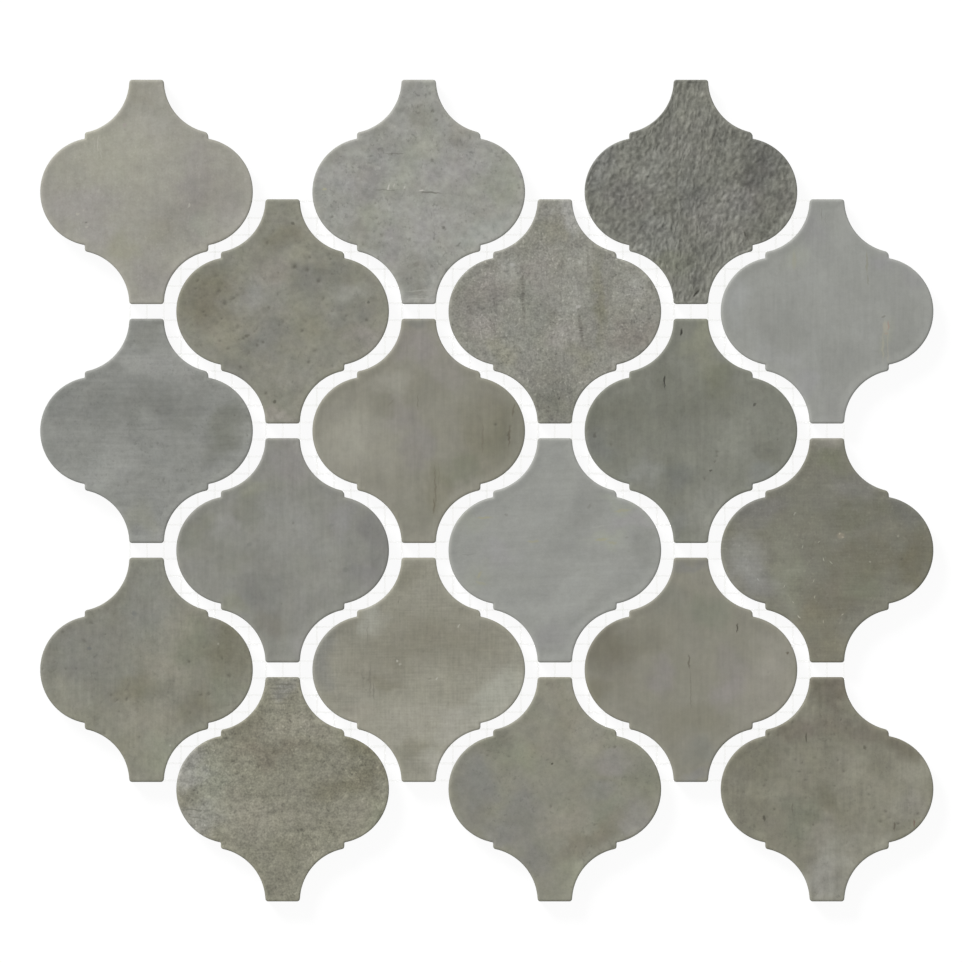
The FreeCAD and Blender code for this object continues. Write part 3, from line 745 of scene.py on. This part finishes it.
lantern_chip(
    "d3", (135, 134, 121), specks=(9, 0), grain=(0.3, 1.2, 1.2, 0.8), drift=1.8,
    pits=(34, 0.3, ((7, -13, 3), (-3, 8, 9), (-17, 12, 3))),
    clouds=((-22, 3, 10, 11, 0, -3, -10, 0), (-25, -8, 9, 8, 0, -3, -6, 1), (-9, -7, 9, 10, 0, -4, -9, 1),
            (-7, -20, 8, 9, 0, -4, -9, 2), (-16, -13, 8, 5, 0, 0, -8, 2), (-10, 10, 10, 8, 0, 0, 2, -4),
            (-10, 13, 5, 5, 0, 5, 1, -1), (-18, 17, 7, 7, 0, -7, -2, -1), (0, 30, 9, 9, 0, 2, 4, 2),
            (-4, 12, 8, 6, 0, -2, 3, 3), (3, 19, 7, 9, 0, 0, 4, 2), (8, 13, 6, 10, 0, 8, 2, 2),
            (17, 8, 8, 6, 0, 4, -7, 4), (13, -1, 6, 4, 0, -1, -8, 0), (26, 3, 9, 8, 0, -4, 0, -2),
            (2, -9, 9, 8, 0, 5, 3, 3), (24, -8, 7, 7, 0, 3, -8, 3), (13, -7, 9, 5, 20, -2, -1, -4),
            (11, -14, 15, 5, 30, -7, 4, 3), (5, -26, 7, 9, 0, 5, 4, -3)),
    cracks=((-0.7, 7.4, 0.45, 0.3, 0),),
    flecks=((-0.7, 7.4, 0.5, 0.5, 0, (70, 68, 58), 0.8), (17.4, 12.4, 0.6, 0.6, 0, (106, 104, 92), 0.7)))

# Fifth column, from the top. Dark stone look pressed with a deep hammered relief; dark cool grey with short
# black cracks; and taupe, paler to the right, with a hair crack.
lantern_chip(
    "e1", (119, 119, 111), grain=(0.3, 0.8, 1.2, 1.8), drift=1.0, face=carved_face, roughness=0.25,
    rough_cell=1.05, stretch=1.8, relief_painted_shade=0.3,
    clouds=((-26, 9, 9, 9, 0, 3, -5, 0), (-12, 7, 9, 8, 0, 7, -1, 0), (0, 26, 10, 11, 0, 6, 2, 0),
            (0, 14, 11, 8, 0, 2, 0, 1), (19, 6, 6, 6, 0, -13, -3, 1), (24, 12, 10, 8, -20, -8, -3, 0),
            (18, -2, 5, 8, 0, -6, -1, 2), (27, -3, 6, 8, 0, -5, 0, 1), (1, -1, 9, 7, -30, -5, -3, 0),
            (4, -7, 7, 7, 30, 3, -1, 2), (13, -1, 8, 7, 0, 5, -2, 2), (-18, -2, 9, 7, 0, -1, -1, 2),
            (-14, -8, 8, 7, 0, -3, -2, 0), (-10, -13, 8, 7, 0, 5, -2, 0), (12, -12, 9, 10, 0, 6, 0, 1),
            (21, -11, 8, 7, 0, -6, 0, 0), (-5, -20, 7, 7, 0, -1, 4, -2)),
    cracks=((1.6, -29.6, 1.6, 0.4, 50), (16.0, -12.5, 3.5, 0.3, 115)),
    flecks=((1.6, -29.6, 1.7, 0.45, 50, (52, 52, 46), 0.85),))
lantern_chip(
    "e2", (123, 124, 114), specks=(4, 0), grain=(0.2, 0.9, 1.0, 0.7), streak=(0.72, 90), drift=0.9,
    pits=(16, 0.32, ((20, 0, 6), (5, -10, 6), (-26, 0, 4))),
    clouds=((3, 26, 6, 14, 0, 5, 8, -1), (8, 15, 9, 6, 0, -5, 5, -1), (-8, 16, 5, 8, 0, -5, 0, 0),
            (-23, 5, 13, 9, 0, -6, 1, 0), (-28, -4, 6, 7, 0, -2, -5, 0), (-6, 6, 14, 12, 0, -4, 0, 0),
            (5, 8, 10, 8, 0, -4, 1, 0), (-14, -11, 9, 6, 10, 9, -5, 0), (-4, -12, 8, 6, 0, -5, -5, 0),
            (15, -3, 10, 13, 0, 6, 0, 0), (4, -8, 9, 7, 0, 3, 0, 0), (23, -5, 6, 5, 0, -5, 0, 0),
            (21, -12, 7, 5, 30, 3, -7, 0), (5, -23, 9, 13, 0, 11, -1, 1), (-4, -27, 6, 7, 0, 2, -5, 0)),
    cracks=((-7.7, 14.2, 2.2, 0.18, 89), (-2.9, 28.8, 1.3, 0.36, 85)),
    flecks=((-7.7, 14.2, 2.5, 0.26, 89, (40, 40, 36), 0.95), (-2.9, 28.8, 1.4, 0.42, 85, (50, 50, 44), 0.9),
            (18.6, 7.6, 0.8, 0.5, 70, (72, 71, 64), 0.8), (5.8, -11.6, 0.6, 0.5, 0, (76, 75, 68), 0.8),
            (-28, -1.4, 0.8, 0.6, 70, (88, 87, 80), 0.7), (22.6, -5.6, 1.6, 0.9, 0, (104, 104, 97), 0.5)))
lantern_chip(
    "e3", (134, 132, 120), grain=(0.1, 0.7, 0.6, 0.4), streak=(0.58, 90), drift=1.0, pits=(5, 0.28, ()),
    clouds=((-27, 7, 13, 12, 0, -12, 1, 1), (-15, 8, 14, 8, 0, -6, 1, 0), (-28, -7, 8, 6, 0, -7, 4, 0),
            (-21, -3, 9, 5, 0, -2, 1, 1), (-8, -2, 6, 7, 0, 2, -7, 3), (10, -7, 6, 7, 0, 3, -7, 4),
            (12, 1, 5, 8, 0, 0, -4, 2), (23, 4, 10, 10, 0, 8, 0, 1), (21, -6, 15, 12, 0, 7, 0, 2),
            (5, 17, 10, 7, 0, -4, -2, -5), (-7, 20, 7, 6, 30, -4, -3, -2), (0, 32, 8, 3, 0, -3, -9, 0),
            (0, -15, 16, 7, 0, -4, 2, 0), (3, -25, 8, 6, 0, -3, -6, -2), (0, -32, 8, 3, 0, -1, -10, 0)),
    cracks=((13.5, 12.2, 1.5, 0.18, 88),),
    flecks=((13.5, 12.2, 1.8, 0.26, 88, (68, 64, 54), 0.8), (-0.5, 2.3, 2.6, 0.4, 90, (98, 94, 82), 0.75),
            (0.0, -6, 8.0, 0.3, 90, (114, 111, 99), 0.6), (28.2, 4.9, 0.6, 0.5, 0, (94, 88, 74), 0.8)))

# Last column, from the top. Smooth pale grey with a cream scratch low on the right; dark olive with a
# blue-grey lobe and white flecks; and mottled taupe with small upright pinholes.
lantern_chip(
    "f1", (149, 150, 145), grain=(0.2, 0.6, 0.5, 0.4), streak=(0.5, 90), drift=0.6,
    clouds=((-27, 4, 8, 9, 0, 6, -4, 0), (-10, 15, 5, 6, 0, 1, 4, -2), (-6, 10, 11, 9, 0, 3, 0, 0),
            (-13, -6, 12, 8, -20, -5, 0, 0), (-5, 24, 6, 7, 0, -2, -3, 2), (13, 8, 11, 11, 30, -2, 0, 0),
            (24, -2, 10, 10, 0, -3, 0, 0), (20, -11, 12, 6, 20, -6, 0, 0), (17, -8, 3, 9, 0, 1, 5, -2),
            (16, 15, 7, 5, 0, -2, -4, 3), (25, 10, 7, 6, 0, -1, -3, 2), (4, -14, 13, 9, -30, -4, 0, 0),
            (-16, -13, 10, 5, -20, 3, -2, 1), (-6, -20, 5, 6, 0, 1, -4, 2), (2, -29, 7, 8, 0, -3, -1, 1),
            (5, 20, 7, 12, 0, 3, 0, 0)),
    flecks=((16.3, -10, 6.6, 0.34, 90, (163, 160, 143), 0.55),
            (17.7, -10, 6.6, 0.3, 90, (161, 158, 143), 0.5),
            (17.0, -4.6, 2.6, 1.0, 90, (168, 163, 147), 0.6),
            (17.9, -4.2, 1.7, 0.36, 86, (162, 138, 126), 0.7),
            (17.2, -6.6, 0.7, 0.4, 20, (164, 146, 130), 0.5),
            (16.6, -1.6, 1.0, 0.4, 20, (122, 121, 114), 0.7),
            (-9.6, 15.0, 3.6, 0.8, 88, (154, 153, 136), 0.5),
            (11.6, 14.2, 4.6, 0.42, 90, (138, 137, 119), 0.5),
            (12.0, 9.2, 1.8, 0.36, 90, (133, 132, 119), 0.5),
            (-1.5, 28.2, 2.6, 0.18, 90, (126, 126, 121), 0.6),
            (-0.4, 27, 2.0, 0.16, 90, (131, 131, 126), 0.5)))
lantern_chip(
    "f2", (120, 119, 107), specks=(5, 8), grain=(0.2, 0.7, 1.0, 1.0), streak=(0.8, 0), drift=1.3, weave=0.4,
    pits=(14, 0.26, ((16, -2, 8), (2, -24, 4))),
    clouds=((-24, -2, 10, 11, 0, 12, -7, 0), (-20, -10, 12, 8, -20, 9, -9, 1),
            (-20, 13, 13, 8, 20, 0, -8, 1), (-11, -8, 7, 16, 0, 7, 2, -3), (0, 33, 9, 8, 0, 16, -1, 3),
            (1, 26, 9, 4, 0, -3, 3, -3), (9, 18, 9, 7, 0, 2, -6, 1), (24, 12, 9, 8, 0, -4, -6, 0),
            (-3, 16, 9, 7, 0, -1, -2, 0), (8, 10, 15, 6, 0, -5, 1, -1), (27, -3, 9, 13, 0, -7, 4, 1),
            (13, -3, 18, 9, 0, -5, 4, 1), (10, -11, 8, 7, 0, 1, 0, -4), (3, -14, 15, 10, 0, -3, 4, 2),
            (-4, -20, 9, 7, 0, 2, 7, 1), (0, -29, 9, 9, 0, -1, 6, 2)),
    flecks=((3.9, 4.4, 1.5, 1.3, 0, (146, 139, 123), 0.65), (3.6, 4.9, 0.6, 0.4, 30, (178, 172, 154), 0.6),
            (4.6, 3.8, 0.5, 0.3, 0, (172, 165, 148), 0.5),
            (-1.0, -2.6, 1.0, 0.22, -55, (176, 176, 161), 0.75),
            (1.2, -3.6, 1.0, 0.2, -40, (172, 172, 157), 0.7),
            (-7.3, 1.0, 0.7, 0.2, 75, (172, 172, 157), 0.7),
            (-8.2, -19.4, 0.9, 0.22, -60, (178, 176, 160), 0.8),
            (-4.0, -9.0, 0.8, 0.2, 60, (170, 168, 153), 0.65),
            (-12.6, -10.4, 0.7, 0.2, 50, (174, 174, 160), 0.7),
            (-10, -15.2, 0.7, 0.2, -50, (174, 172, 156), 0.7),
            (-3.6, -13.6, 0.7, 0.2, 80, (174, 172, 154), 0.7),
            (4.5, -18.8, 0.6, 0.2, 35, (170, 168, 152), 0.7),
            (-1.0, -20.8, 0.6, 0.2, -70, (172, 168, 150), 0.7),
            (-9.4, 10.6, 0.7, 0.2, 80, (162, 162, 150), 0.6),
            (-20.0, -8.6, 0.7, 0.2, -60, (170, 172, 166), 0.6),
            (20.8, 4.2, 0.5, 0.4, 0, (156, 154, 141), 0.5),
            (-2.4, 2.4, 0.6, 0.2, 60, (168, 166, 151), 0.65),
            (12.6, -3.4, 0.5, 0.3, 0, (160, 158, 144), 0.6)))
lantern_chip(
    "f3", (128, 126, 112), specks=(8, 0), grain=(0.2, 1.2, 1.4, 0.8), streak=(0.9, 90), drift=1.4,
    pits=(60, 0.38, ((-16, 8, 6), (-12, -6, 6), (8, -2, 8), (20, -8, 4), (-6, 12, 5))),
    clouds=((1, 29, 9, 9, 0, -12, 0, 3), (6, 18, 20, 6, 0, -7, 0, 3), (-9, 18, 9, 6, 20, -6, 0, 3),
            (22, 13, 10, 6, -30, -9, 0, 2), (-22, 9, 13, 8, 0, -6, 0, 0), (-23, -7, 10, 6, 0, -5, 0, 0),
            (8, 6, 7, 7, 0, 8, 0, 0), (25, 4, 9, 8, 0, 9, 0, 0), (24, -5, 10, 7, 0, 7, -3, 1),
            (12, -2, 13, 9, 0, 5, 1, 0), (-1, -3, 7, 7, 0, -7, 1, 0), (-8, -9, 7, 9, 0, -3, -3, -4),
            (-2, -14, 8, 7, 0, 4, -3, 1), (0, -27, 10, 13, 0, 16, -10, 0), (9, -17, 14, 6, 25, 9, -2, 0),
            (-14, -1, 8, 4, 0, 4, 0, -1)),
    cracks=((-6.0, 15, 1.6, 0.22, 90), (-18.4, -8.5, 0.9, 0.36, 90)),
    flecks=((-6.0, 15, 1.9, 0.34, 90, (86, 84, 72), 0.75), (-18.4, -8.5, 1.2, 0.5, 90, (82, 80, 70), 0.8),
            (19.6, -11, 1.8, 0.3, 90, (88, 82, 70), 0.7), (25.4, -10, 1.7, 0.3, 88, (104, 76, 66), 0.7),
            (-10.1, -5.5, 2.2, 0.3, 90, (96, 94, 82), 0.6), (11.0, 12.2, 0.9, 0.5, 90, (86, 84, 72), 0.7)))

# Backing net. A leno-woven net of white coated glass yarn is glued to the chips' backs and holds the sheet
# together; it is cut back inside the outer chips, and its yarns cross over and under each other.
YARNS_PER_COLUMN = 8
YARNS_PER_ROW = 14
YARN_WIDTH = 0.6 * mm
YARN_THICKNESS = 0.19 * mm
NET_SETBACK = 2.2 * mm
SHORTEST_RUN = 3 * NET_SETBACK
GLUE_SETBACK = 2.6 * mm
GLUE_FADE = 1.0 * mm
WIDEST_JOINT = 8.5 * mm
YARN_COLOUR = (254, 254, 253)
YARN_SHADE = (251, 252, 250)
GLUED_COLOUR = (226, 225, 218)
GLUE_SOAK = (0.7, 1.0)
YARN_ROUGHNESS = (0.05, 0.15)
# How much light passes the yarn, how much of that the glue takes away, and how strongly the yarn bends it.
CLEARNESS = 0.97
GLUE_LOSS = 0.9
YARN_BENDING = 1.02
# The yarn's filaments: their size in millimetres and their height.
FILAMENT_SIZE = 0.12
FILAMENT_HEIGHT = 0.02 * mm
NET_POINTS = 2400
NEARBY = 0.2 * mm
chip_keys = [letter + number for letter in "abcdef" for number in "123"]
chip_boxes = [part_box("lantern_chip_" + key) for key in chip_keys]
chip_middles = np.array([((low.x + high.x) / 2, (low.y + high.y) / 2) for low, high in chip_boxes])
column_pitch = np.diff(np.unique(chip_middles[:, 0].round(5)))[0]
row_pitch = abs(chip_middles[0, 1] - chip_middles[1, 1])
net_low, net_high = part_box("backing_net")
outline_loop = lantern(np.linspace(0, 8, NET_POINTS, endpoint=False))


def half_reach(offset, axis):
    """Half the chip's extent along an axis, at an offset across it: the furthest outline point nearby."""
    aside, along = outline_loop[:, 1 - axis], outline_loop[:, axis]
    near = np.abs(np.abs(aside) - abs(offset)) < NEARBY
    return np.abs(along[near]).min() if near.any() else 0.0


def yarn_spans(place, axis):
    """Stretches of one yarn: under the chips it meets, run together across joints but not across bays."""
    spans = []
    for middle in chip_middles:
        reach = half_reach(place - middle[1 - axis], axis)
        if reach > 0:
            spans.append([middle[axis] - reach, middle[axis] + reach])
    runs = []
    for low, high in sorted(spans):
        if runs and low - runs[-1][1] < WIDEST_JOINT:
            runs[-1][1] = max(runs[-1][1], high)
        else:
            runs.append([low, high])
    return [(low + NET_SETBACK, high - NET_SETBACK) for low, high in runs if high - low > SHORTEST_RUN]


def yarn(place, axis, start, end, spacing, over):
    """One flat yarn with a six-sided section, carried along a straight line that rises over every other
    crossing and dips under the rest as a cosine of twice the crossing's spacing."""
    steps = max(3, round((end - start) / (spacing / 2)))
    along = np.linspace(start, end, steps + 1)
    wave = np.cos(math.pi * along / spacing) * (1 if over else -1)
    centre = (net_low.z + net_high.z) / 2 + (net_high.z - net_low.z - YARN_THICKNESS) / 2 * wave
    aside = np.array((0.5, 0.3, -0.3, -0.5, -0.3, 0.3)) * YARN_WIDTH
    rise = np.array((0.0, 0.5, 0.5, 0.0, -0.5, -0.5)) * YARN_THICKNESS
    points = np.zeros((steps + 1, 6, 3))
    points[..., axis] = along[:, None]
    points[..., 1 - axis] = place + (aside if axis == 0 else -aside)
    points[..., 2] = centre[:, None] + rise
    ring = np.arange(6)
    start_corner = (np.arange(steps)[:, None] * 6 + ring).ravel()
    next_corner = (np.arange(steps)[:, None] * 6 + (ring + 1) % 6).ravel()
    sides = np.column_stack((start_corner, next_corner, next_corner + 6, start_corner + 6))
    start_caps = np.array(((5, 4, 1, 0), (4, 3, 2, 1)))
    caps = np.vstack((start_caps, start_caps[:, ::-1] + 6 * steps))
    return points.reshape(-1, 3), np.vstack((sides, caps))


net_points, net_quads, point_count = [], [], 0
yarn_pitch = (column_pitch / YARNS_PER_COLUMN, row_pitch / YARNS_PER_ROW)
for axis in (0, 1):
    pitch, crossing_pitch = yarn_pitch[1 - axis], yarn_pitch[axis]
    each_side = int(cad_high[1 - axis] / pitch)
    for number in range(-each_side, each_side + 1):
        for start, end in yarn_spans(number * pitch, axis):
            points, quads = yarn(number * pitch, axis, start, end, crossing_pitch, (number + axis) % 2 == 0)
            net_points.append(points)
            net_quads.append(quads + point_count)
            point_count += len(points)
net_points = np.vstack(net_points)
glass_net = mesh_object("glass_net", net_points, np.vstack(net_quads))
first_quarter = quarter_outline(*chip_half, CORNER_ROUND)[::-1]
glued = np.zeros(len(net_points), np.float32)
for middle in chip_middles:
    offset = np.abs(net_points[:, :2] - middle)
    under = offset[:, 1] < np.interp(offset[:, 0], first_quarter[:, 0], first_quarter[:, 1], right=0.0)
    glued[under] = np.clip((outline_distance(offset[under], lantern) - GLUE_SETBACK) / GLUE_FADE, 0, 1)
glass_net.data.attributes.new("glued", "FLOAT", "POINT").data.foreach_set("value", glued)


def glass_yarn_material():
    """Coated glass yarn: clear in the joints, where nearly all light passes, and white under the chips, where
    the glue has soaked in. Filaments roughen it, and the coating is uneven."""
    work = Print("coated_glass_yarn")
    glue = work.node("ShaderNodeAttribute", attribute_name="glued").outputs["Fac"]
    work.colour = linear(YARN_COLOUR)
    work.lay(work.ramp(work.noise(6.0), 0.45, 0.7, 0.0, 0.5), linear(YARN_SHADE))
    soaked = work.maths("MULTIPLY", glue, work.uneven(9.0, *GLUE_SOAK))
    work.lay(soaked, linear(GLUED_COLOUR))
    work.link(work.colour, work.shader.inputs["Base Color"])
    work.link(work.uneven(1.5, *YARN_ROUGHNESS), work.shader.inputs["Roughness"])
    clearness = work.maths("MULTIPLY_ADD", glue, -GLUE_LOSS, CLEARNESS)
    work.link(clearness, work.shader.inputs["Transmission Weight"])
    work.shader.inputs["IOR"].default_value = YARN_BENDING
    work.bump(work.noise(FILAMENT_SIZE, detail=1.0), FILAMENT_HEIGHT)
    return work.material


glass_net.data.materials.append(glass_yarn_material())
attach(glass_net, "root")
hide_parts("backing_net")

# Floor and light. The sheet lies on a plain white table under soft light that comes mostly from beyond its
# upper edge, a little to the left, with an even fill from all round.
KEY_TURN = math.radians(127)
KEY_HEIGHT = math.radians(38)
KEY_SPREAD = math.radians(20)
FILL = 0.407
KEY = 0.54
TABLE_PAINT = 0.09
TABLE_WHITE = 0.935
TABLE_ROUGHNESS = 0.9
TABLE_GAP = 0.05 * mm
table_half = 2.0
table_height = cad_low.z - TABLE_GAP
table_corners = np.array(((-1, -1, 0), (1, -1, 0), (1, 1, 0), (-1, 1, 0))) * table_half
floor = mesh_object("table_top", table_corners + (0, 0, table_height), np.array(((0, 1, 2, 3),)))


def seen_directly(tree):
    """One where a ray comes from the camera, a mirror reflection or clear glass."""
    path = tree.nodes.new("ShaderNodeLightPath")
    total = path.outputs["Is Camera Ray"]
    for name in ("Is Glossy Ray", "Is Transmission Ray"):
        add = tree.nodes.new("ShaderNodeMath")
        add.operation = "MAXIMUM"
        tree.links.new(total, add.inputs[0])
        tree.links.new(path.outputs[name], add.inputs[1])
        total = add.outputs[0]
    return total


def table_material():
    """White table: mostly its own white where it is looked at, so it reads as white paper, with enough
    plain white paint for the chips' shadow to show."""
    material = bpy.data.materials.new("white_table")
    material.use_nodes = True
    tree = material.node_tree
    shader = tree.nodes["Principled BSDF"]
    shader.inputs["Base Color"].default_value = (TABLE_PAINT, TABLE_PAINT, TABLE_PAINT, 1.0)
    shader.inputs["Roughness"].default_value = TABLE_ROUGHNESS
    shader.inputs["Specular IOR Level"].default_value = 0.0
    shader.inputs["Emission Color"].default_value = (1.0, 1.0, 1.0, 1.0)
    scale = tree.nodes.new("ShaderNodeMath")
    scale.operation = "MULTIPLY"
    scale.inputs[1].default_value = TABLE_WHITE
    tree.links.new(seen_directly(tree), scale.inputs[0])
    tree.links.new(scale.outputs[0], shader.inputs["Emission Strength"])
    return material


floor.data.materials.append(table_material())

world = bpy.data.worlds.new("soft_white_room")
world.use_nodes = True
bpy.context.scene.world = world
background = world.node_tree.nodes["Background"]
background.inputs["Color"].default_value = (1.0, 1.0, 1.0, 1.0)
brightness = world.node_tree.nodes.new("ShaderNodeMapRange")
brightness.inputs["To Min"].default_value = FILL
brightness.inputs["To Max"].default_value = 1.0
world.node_tree.links.new(seen_directly(world.node_tree), brightness.inputs["Value"])
world.node_tree.links.new(brightness.outputs[0], background.inputs["Strength"])

key_data = bpy.data.lights.new("window_light", "SUN")
key_data.energy = KEY * math.pi / math.sin(KEY_HEIGHT)
key_data.angle = KEY_SPREAD
key_light = bpy.data.objects.new("window_light", key_data)
key_light.rotation_euler = (0, math.pi / 2 - KEY_HEIGHT, KEY_TURN)
bpy.context.scene.collection.objects.link(key_light)
